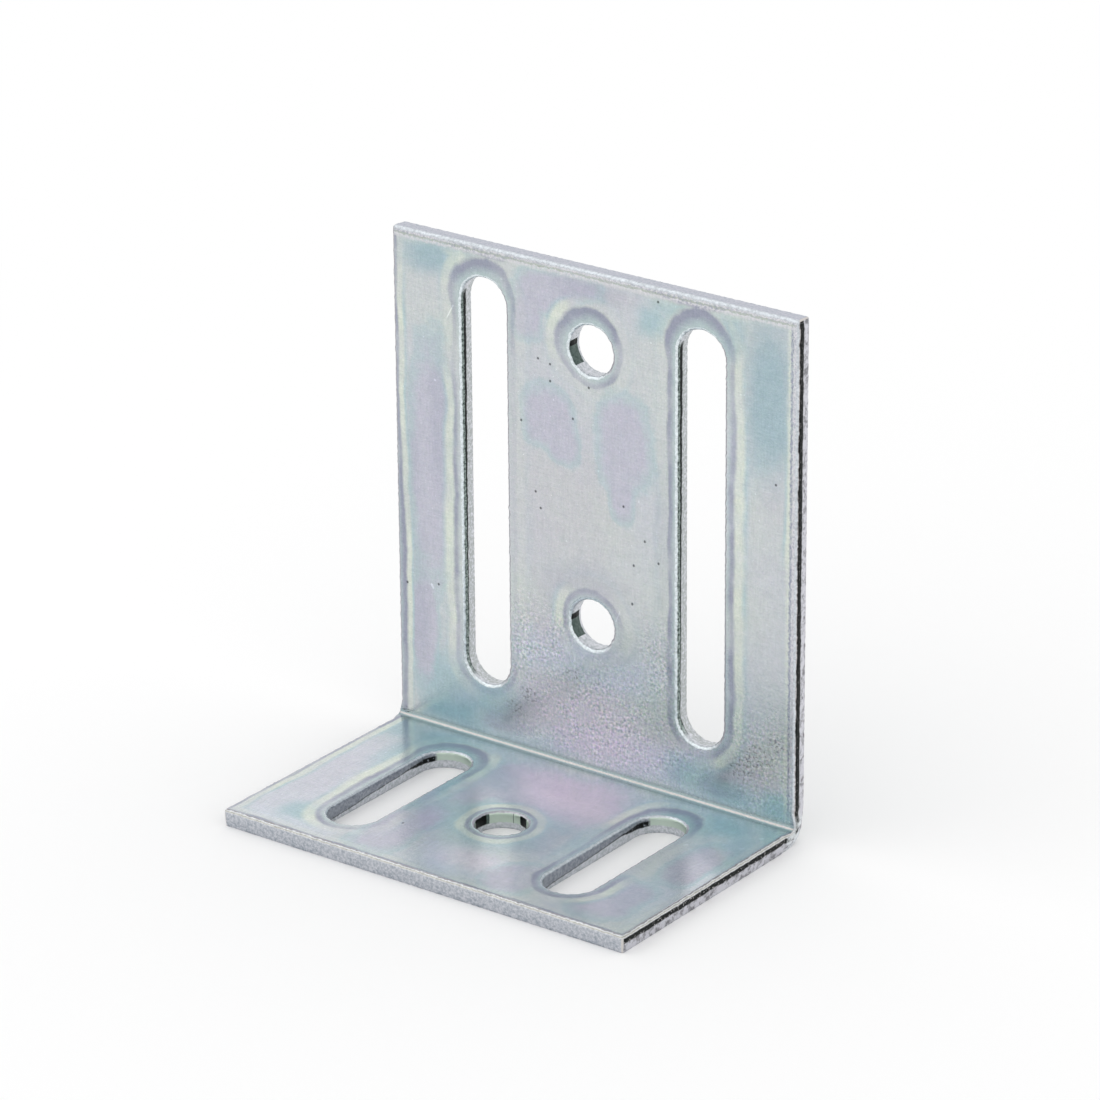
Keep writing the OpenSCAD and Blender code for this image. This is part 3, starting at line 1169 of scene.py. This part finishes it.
def pits_and_nicks(shelf, sheet, place):
    """The dark pits and the bright nicks of the inner faces, each as a mask."""
    gaps = [shelf.vector("DISTANCE", place, flat_spot(sheet, *pit)) for pit in PITS]
    nicks = [
        shelf.group("short_mark", {
            "Place": place, "Start": flat_spot(sheet, leg, x, other),
            "End": flat_spot(sheet, leg, to_x, to_other), "Width": width * MM})["Mark"]
        for leg, x, other, to_x, to_other, width in NICKS]
    pits = shelf.lowest(*gaps).fall(0.10 * MM, 0.32 * MM, smooth=True)
    return pits, shelf.highest(*nicks)


def new_metal(name):
    """A metal's material, the shelf to fill it from, and its Principled shader's inputs."""
    material = bpy.data.materials.new(name)
    material.use_nodes = True
    shelf = Shelf(material.node_tree)
    shader = material.node_tree.nodes["Principled BSDF"].inputs
    shelf.plug(shader["Metallic"], 1.0)
    return material, shelf, shader


def film_material(sheet, cut, film):
    """Bright zinc under a clear passivation film, for the faces of the sheet."""
    material, shelf, shader = new_metal("zinc_film")
    place = shelf.attribute("flat_place", "Vector")
    inner = shelf.attribute("depth").fall(0, sheet.thickness)
    broad = shelf.noise(place, 8 * MM)
    wander = 1.8 * broad + 0.9 * shelf.noise(place, 1.4 * MM, 3.0, 0.6) - 1.35
    tone = clouds(shelf, film, place, inner, wander)
    tone = rim_bands(shelf, cut, film, place, wander, tone)
    tone = rim_highlights(shelf, sheet, cut, film, place, inner, tone)
    tone = fold_painted_highlight(shelf, sheet, film, place, inner, tone)

    mottled = patch(shelf, "mottled", wander, 0.7) * inner.fit(0, 1, 0.35, 1.0)
    clumps = shelf.noise(place, 3 * MM, 2.0, 0.6).fit(0.36, 0.6, 0.35, 1.0) * mottled
    blotches, grain, specks = (
        shelf.group("plating_grain", {"Place": place, "Amount": amount, "Size": size})
        for amount, size in (
            (0.28, 1.6 * MM), (0.5 * mottled + 0.42, 0.42 * MM), (2.6 * clumps, 0.55 * MM)))
    for layer in (blotches, grain, specks):
        tone = shelf.vector("MULTIPLY", tone, layer["Tint"])
    rolled, wiped = (
        shelf.noise(shelf.vector("MULTIPLY", place, squeeze), 1 * MM, 3.0, 0.7)
        for squeeze in ((4.0, 0.25, 1.0), (0.25, 4.0, 1.0)))
    light = (rolled + wiped).fit(0.6, 1.4, 0.9, 1.1)
    stain = shelf.noise(place, 0.5 * MM, 2.0, 0.6).rise(0.53, 0.62)
    stain = stain * patch(shelf, "stained", wander) * inner
    flecks = shelf.noise(place, 0.6 * MM).rise(0.69, 0.74)
    pits, nicks = pits_and_nicks(shelf, sheet, place)
    light = light * shelf.highest(pits, 0.65 * stain).fit(0.0, 1.0, 1.0, 0.25)
    light = light + 0.3 * shelf.highest(nicks, 0.8 * flecks)
    height = clumps * specks["Height"] + grain["Height"] - 3.0 * pits
    bump = shelf.add("Bump", {"Height": height, "Strength": 0.35, "Distance": 0.03 * MM})
    shelf.plug(shader["Base Color"], shelf.scaled(tone, light))
    shelf.plug(shader["Roughness"], 0.16 * mottled + 0.08 * broad + 0.16)
    shelf.plug(shader["Normal"], shelf.value(bump, "Normal"))
    return material


class EdgeSpot:
    """Where a point of the cut edges is, as values and masks, with the noises there.

    The lip is coloured by lip_depth, and the land and the break by depth, which wanders more.
    The ways that the edge faces are facing_x, and facing_s along the sheet. Straight is a
    mask of the parts that face along x, with the low ends of the slots.
    """

    def __init__(self, shelf, sheet):
        place = shelf.value(shelf.add("TexCoord"), "Object")
        self.torn = shelf.noise(place, 0.5 * MM, 4.0, 0.7)
        self.scaly = 0.5 * self.torn + 0.5 * shelf.noise(place, 1.3 * MM)
        self.even = self.torn.rise(0.36, 0.62)
        ragged = shelf.noise(place, 0.9 * MM, 3.0, 0.65)
        self.lip_depth = shelf.attribute("depth") + 0.3 * MM * ragged - 0.15 * MM
        self.depth = self.lip_depth + 0.5 * MM * shelf.noise(place, 3 * MM, 2.0, 0.6) - 0.25 * MM
        self.along = shelf.coordinate(shelf.attribute("flat_place", "Vector"), "Y")
        self.on_wall = self.along.rise(base_run(sheet), fold_end(sheet))
        self.facing_x = shelf.attribute("facing_x")
        self.facing_s = shelf.attribute("facing_s")
        self.across = shelf.math("ABSOLUTE", self.facing_x)
        self.sideways = self.across.rise(0.5, 0.85, smooth=True)
        upright = (self.across - 0.15 * self.on_wall).rise(0.77, 0.84)
        self.straight = shelf.highest(upright, self.facing_s.rise(0.05, 0.2) * self.sideways)
        kind = shelf.attribute("rim_kind")
        self.on_outline = kind.fall(0.4, 0.6)
        self.in_slot = kind.between(0.4, 0.6, 1.4, 1.6)
        self.in_hole = kind.rise(1.4, 1.6)


def broken_tone(shelf, edge, spot):
    """The land's and the break's tones on end edges, side edges, slots and round holes."""
    end_of_land = shelf.attribute("streak_end") * 0.93
    broken = (spot.depth - end_of_land).rise(-0.1 * MM, 0.1 * MM)
    end = shelf.mix(spot.even, edge.end_low, edge.end_high)
    top = shelf.mix(spot.even, edge.top_low, edge.top_high)
    tone = shelf.mix(spot.facing_s.rise(0.5, 0.8), end, top)
    land = shelf.mix(spot.even, edge.land_low, edge.land_high)
    side = shelf.mix(spot.scaly.rise(0.39, 0.53), edge.side_low, edge.side_high)
    tone = shelf.mix(spot.sideways, tone, shelf.mix(broken, land, side))

    open_break = shelf.mix(spot.even, edge.hole_low, edge.hole_high)
    base_land = shelf.mix(spot.even, edge.base_slot_low, edge.base_slot_high)
    wall_land = shelf.mix(spot.torn.rise(0.40, 0.60), edge.slot_low, edge.slot_high)
    land = shelf.mix(spot.on_wall, base_land, wall_land)
    land = shelf.mix(spot.straight, shelf.mix(spot.on_wall, edge.green, open_break), land)
    wall_break = shelf.mix(spot.even, edge.slot_break, open_break)
    slot = shelf.mix(broken, land, shelf.mix(spot.on_wall, open_break, wall_break))
    tone = shelf.mix(spot.in_slot, tone, slot)
    green = spot.depth.fall(1.75 * MM, 1.9 * MM) * (1 - spot.on_wall)
    return shelf.mix(spot.in_hole, tone, shelf.mix(green, open_break, edge.green))


def dark_reflection_tone(shelf, edge, spot, tone):
    """The painted dark reflections: black streaks on straight land, and the dark parts of the round
    holes.
    """
    streak_top, streak_end = shelf.attribute("streak_top"), shelf.attribute("streak_end")
    from_top = (spot.depth - streak_top).rise(-0.08 * MM, 0.1 * MM)
    to_end = (spot.depth - streak_end).fall(-0.1 * MM, 0.08 * MM)
    chips = spot.torn.fit(0.57, 0.65, 0.0, 0.7) * spot.on_wall.fit(0, 1, 1.0, 0.3)
    streak = from_top * to_end * (1 - chips) * spot.straight * (1 - spot.in_hole)
    tone = shelf.mix(streak, tone, edge.streak)
    burnished = shelf.attribute("burnished")
    deep = 0.6 * MM * spot.on_wall + 1.85 * MM
    dark = burnished.rise(0.3, 0.45) * (spot.depth - deep).fall(-0.08 * MM, 0.08 * MM)
    shade = shelf.mix(spot.even, edge.slot_low, edge.shade)
    return shelf.mix(dark, tone, shelf.mix(burnished.rise(0.6, 0.8), shade, edge.streak))


def lip_tone(shelf, cut, edge, spot, cut_out):
    """The lip's tones: a painted dark line, bright metal and a painted dark olive line, or brighter
    in cut-outs, where the wall leg's get a painted highlight. Lips facing left get painted shade, and
    all get painted glints.
    """
    lip = shelf.ramp(spot.lip_depth.rise(0, cut.lip), (
        (edge.line, 0.0, 0.07), (edge.lip_cool, 0.16), (edge.lip_warm, 0.36),
        (edge.olive, 0.44, 0.50), (edge.lip_warm, 0.58), (edge.lip_cool, 0.95)))
    # The wall leg's cut-outs get the painted highlight.
    bright = shelf.mix(cut_out * spot.on_wall, edge.lip_cool, edge.lip_bright)
    lip = shelf.mix(shelf.highest(cut_out, spot.on_wall), lip, bright)
    # Painted shade: lips that face left and the base leg's round holes are darker.
    shaded_side = shelf.highest(spot.facing_x.fall(-0.9, -0.5), spot.in_hole * (0.7 - spot.on_wall))
    lip = shelf.mix(shaded_side, lip, edge.lip_turned)
    # Painted glints: fine noise brightens and dims the lip.
    return shelf.scaled(lip, spot.torn.fit(0.34, 0.62, 0.74, 1.1))


def cut_material(sheet, cut, edge):
    """The lip, land and break of a cut edge, by the depth below the inner face."""
    material, shelf, shader = new_metal("zinc_cut_edge")
    spot = EdgeSpot(shelf, sheet)
    tone = broken_tone(shelf, edge, spot)
    tone = dark_reflection_tone(shelf, edge, spot, tone)
    # Painted glints: bright flecks on the outline's cut edge at the ends of the fold.
    by_fold = spot.along.between(
        base_run(sheet) - 2 * MM, base_run(sheet), fold_end(sheet), fold_end(sheet) + 1.5 * MM)
    rubbed = by_fold * spot.scaly.rise(0.42, 0.54) * spot.on_outline * 0.8
    tone = shelf.mix(rubbed, tone, edge.rubbed)
    # Painted highlight on the outline's rounded corners, in the lip's warm colour.
    corners = spot.across.between(0.25, 0.45, 0.75, 0.92) * spot.on_outline
    tone = shelf.mix(corners, tone, edge.lip_warm)

    cut_out = shelf.highest(spot.in_slot, spot.in_hole)
    short = shelf.highest(cut_out, spot.on_wall * spot.sideways)
    reach = 0.95 * cut.lip - 0.5 * cut.lip * short
    over = (spot.lip_depth - reach).fall(-0.07 * MM, 0.07 * MM, smooth=True)
    tone = shelf.mix(over, tone, lip_tone(shelf, cut, edge, spot, cut_out))
    bump = shelf.add("Bump", {"Height": spot.torn, "Strength": 0.5, "Distance": 0.06 * MM})
    shelf.plug(shader["Base Color"], tone)
    shelf.plug(shader["Roughness"], over.fit(0.0, 1.0, 0.45, 0.3))
    shelf.plug(shader["Normal"], shelf.value(bump, "Normal"))
    return material


def seen_directly(shelf):
    """1 for what the camera sees, also in a mirror or through glass, and 0 for lighting."""
    path = shelf.add("LightPath")
    rays = ("Is Camera Ray", "Is Glossy Ray", "Is Transmission Ray")
    return shelf.highest(*(shelf.value(path, ray) for ray in rays))


def floor_material(studio):
    """Plain pale floor that turns into the white background away from the bracket."""
    material = bpy.data.materials.new("studio_floor")
    material.use_nodes = True
    tree = material.node_tree
    shelf = Shelf(tree)
    plain = tree.nodes["Principled BSDF"]
    shelf.plug(plain.inputs["Base Color"], studio.floor)
    shelf.plug(plain.inputs["Roughness"], 0.9)
    shelf.plug(plain.inputs["Specular IOR Level"], 0.0)
    far = shelf.vector("LENGTH", shelf.value(shelf.add("TexCoord"), "Object"))
    far = far.rise(studio.clear_floor, studio.white_floor, smooth=True)
    white = shelf.add("Emission", {"Color": (1, 1, 1), "Strength": 1.0})
    blend = shelf.add("MixShader", {
        0: far * seen_directly(shelf), 1: shelf.value(plain, 0), 2: shelf.value(white, 0)})
    tree.links.new(blend.outputs[0], tree.nodes["Material Output"].inputs["Surface"])
    return material


class BRACKET_OT_folded_sheet(bpy.types.Operator):
    """Make the folded sheet with its holes, cut edges and finish"""
    bl_idname = "bracket.folded_sheet"
    bl_label = "Folded sheet"

    def execute(self, context):
        scene = context.scene
        sheet, cut = scene.bracket_sheet, scene.bracket_cut
        grain_group()
        mark_group()
        data = sheet_mesh(sheet, cut, scene.bracket_mesh)
        data.materials.append(film_material(sheet, cut, scene.bracket_film))
        data.materials.append(cut_material(sheet, cut, scene.bracket_edges))
        piece = bpy.data.objects.new("folded_sheet", data)
        scene.collection.objects.link(piece)
        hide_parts(NODE)
        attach(piece, BODY)
        return {"FINISHED"}


FLOOR_SIDES = 96
# Width of the camera's sensor in millimetres.
SENSOR_WIDTH = 36


class BRACKET_OT_studio(bpy.types.Operator):
    """Make the floor, the light and the camera"""
    bl_idname = "bracket.studio"
    bl_label = "Studio"

    def execute(self, context):
        scene = context.scene
        studio = scene.bracket_studio
        self.lay_floor(scene, studio)
        self.light(scene, studio)
        self.aim_camera(scene, studio)
        scene.view_settings.view_transform = "Standard"
        return {"FINISHED"}

    def lay_floor(self, scene, studio):
        """A round floor just under the bracket."""
        turn = np.linspace(0, 2 * math.pi, FLOOR_SIDES, endpoint=False)
        ring = np.column_stack([np.cos(turn), np.sin(turn), np.zeros_like(turn)])
        data = bpy.data.meshes.new("studio_floor")
        data.from_pydata((ring * studio.floor_radius).tolist(), [], [list(range(len(turn)))])
        data.materials.append(floor_material(studio))
        floor = bpy.data.objects.new("studio_floor", data)
        scene.collection.objects.link(floor)

    def light(self, scene, studio):
        """A plain sky that looks white all round, and one large soft lamp."""
        world = bpy.data.worlds.new("studio_sky")
        world.use_nodes = True
        background = world.node_tree.nodes["Background"].inputs
        shelf = Shelf(world.node_tree)
        shelf.plug(background["Color"], (1, 1, 1))
        shelf.plug(background["Strength"], seen_directly(shelf).fit(0, 1, studio.sky, 1.0))
        scene.world = world
        data = bpy.data.lights.new("soft_lamp", "AREA")
        data.size = studio.lamp_size
        data.energy = studio.lamp_power
        lamp = bpy.data.objects.new("soft_lamp", data)
        place = Vector(studio.lamp_place)
        turn = place.to_track_quat("Z", "Y").to_matrix().to_4x4()
        lamp.matrix_world = Matrix.Translation(place) @ turn
        scene.collection.objects.link(lamp)

    def aim_camera(self, scene, studio):
        """The camera looks back along its own axes' third, from the studio's settings."""
        turn, rise, roll = studio.azimuth, studio.elevation, studio.roll
        back = Vector((
            math.sin(turn) * math.cos(rise), -math.cos(turn) * math.cos(rise), math.sin(rise)))
        level = Vector((math.cos(turn), math.sin(turn), 0))
        upright = back.cross(level)
        right = math.cos(roll) * level + math.sin(roll) * upright
        up = back.cross(right)
        aim = Vector((0, studio.aim_depth, studio.aim_height))
        place = aim + back * studio.distance
        place += right * studio.slide_right + up * studio.slide_up
        data = bpy.data.cameras.new("camera")
        data.sensor_width = SENSOR_WIDTH
        data.lens = studio.lens
        camera = bpy.data.objects.new("camera", data)
        axes = Matrix((right, up, back)).transposed().to_4x4()
        camera.matrix_world = Matrix.Translation(place) @ axes
        scene.collection.objects.link(camera)
        scene.camera = camera


class BRACKET_PT_sidebar(bpy.types.Panel):
    """Buttons and settings of the bracket"""
    bl_idname = "BRACKET_PT_sidebar"
    bl_label = "Angle bracket"
    bl_space_type = "VIEW_3D"
    bl_region_type = "UI"
    bl_category = "Bracket"

    def draw(self, context):
        for operator in OPERATORS:
            self.layout.operator(operator.bl_idname)
        for name, kind in SETTINGS.items():
            box = self.layout.box()
            box.label(text=kind.__doc__)
            group = getattr(context.scene, name)
            for field in kind.__annotations__:
                box.prop(group, field)


SETTINGS = {
    "bracket_sheet": BracketSheet,
    "bracket_cut": BracketCut,
    "bracket_mesh": BracketMesh,
    "bracket_film": BracketFilm,
    "bracket_edges": BracketEdgeColours,
    "bracket_studio": BracketStudio,
}
OPERATORS = (BRACKET_OT_folded_sheet, BRACKET_OT_studio)


def register():
    """Registers the settings, the operators and the panel."""
    for name, kind in SETTINGS.items():
        bpy.utils.register_class(kind)
        setattr(bpy.types.Scene, name, bpy.props.PointerProperty(type=kind))
    for operator in OPERATORS:
        bpy.utils.register_class(operator)
    bpy.utils.register_class(BRACKET_PT_sidebar)


def unregister():
    """Takes back what register did."""
    bpy.utils.unregister_class(BRACKET_PT_sidebar)
    for operator in reversed(OPERATORS):
        bpy.utils.unregister_class(operator)
    for name, kind in reversed(SETTINGS.items()):
        delattr(bpy.types.Scene, name)
        bpy.utils.unregister_class(kind)


def main():
    """Makes the bracket and its studio."""
    register()
    bpy.ops.bracket.folded_sheet()
    bpy.ops.bracket.studio()
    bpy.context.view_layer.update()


if __name__ == "__main__":
    main()
